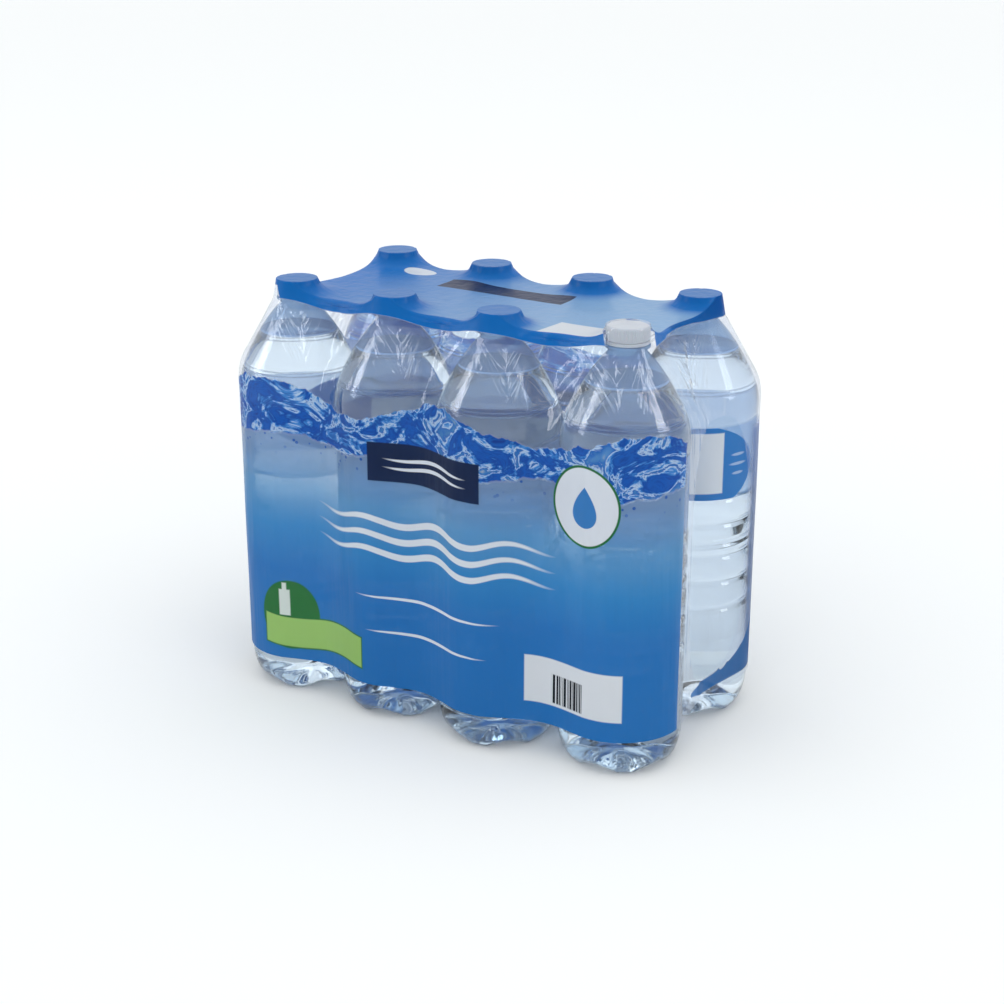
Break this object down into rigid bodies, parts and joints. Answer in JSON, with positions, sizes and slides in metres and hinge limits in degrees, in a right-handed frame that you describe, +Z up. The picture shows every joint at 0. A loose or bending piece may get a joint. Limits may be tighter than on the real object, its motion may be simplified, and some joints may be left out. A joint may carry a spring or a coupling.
{
  "type": "case of water bottles",
  "caption": "Shrink-wrapped case of tall clear plastic water bottles standing in rows, with a printed blue film over the caps and fronts and an oval opening at each end.",
  "frame": {"origin": "on the floor under the middle of the case", "axes": "+X along the rows of four, towards the end with the slipped bottle; -Y is the printed front; +Z up"},
  "size_m": [0.366, 0.2146, 0.317],
  "materials": {
    "bottle_pet": "clear blown PET",
    "water": "still water",
    "label_film": "printed film label",
    "cap_plastic": "moulded, fine vertical grip ribs",
    "shrink_film": "printed shrink film, clear where there is no print"
  },
  "bodies": {
    "root": {"bottle_front_1": "bottle_pet", "bottle_front_2": "bottle_pet", "bottle_front_3": "bottle_pet", "bottle_front_4": "bottle_pet", "bottle_back_1": "bottle_pet", "bottle_back_2": "bottle_pet", "bottle_back_3": "bottle_pet", "bottle_back_4": "bottle_pet", "water_front_1": "water", "water_front_2": "water", "water_front_3": "water", "water_front_4": "water", "water_back_1": "water", "water_back_2": "water", "water_back_3": "water", "water_back_4": "water", "label_front_1": "label_film", "label_front_2": "label_film", "label_front_3": "label_film", "label_front_4": "label_film", "label_back_1": "label_film", "label_back_2": "label_film", "label_back_3": "label_film", "label_back_4": "label_film", "cap_front_1": "cap_plastic", "cap_front_2": "cap_plastic", "cap_front_3": "cap_plastic", "cap_front_4": "cap_plastic", "cap_back_1": "cap_plastic", "cap_back_2": "cap_plastic", "cap_back_3": "cap_plastic", "cap_back_4": "cap_plastic", "wrap": "shrink_film"}
  },
  "joints": []
}
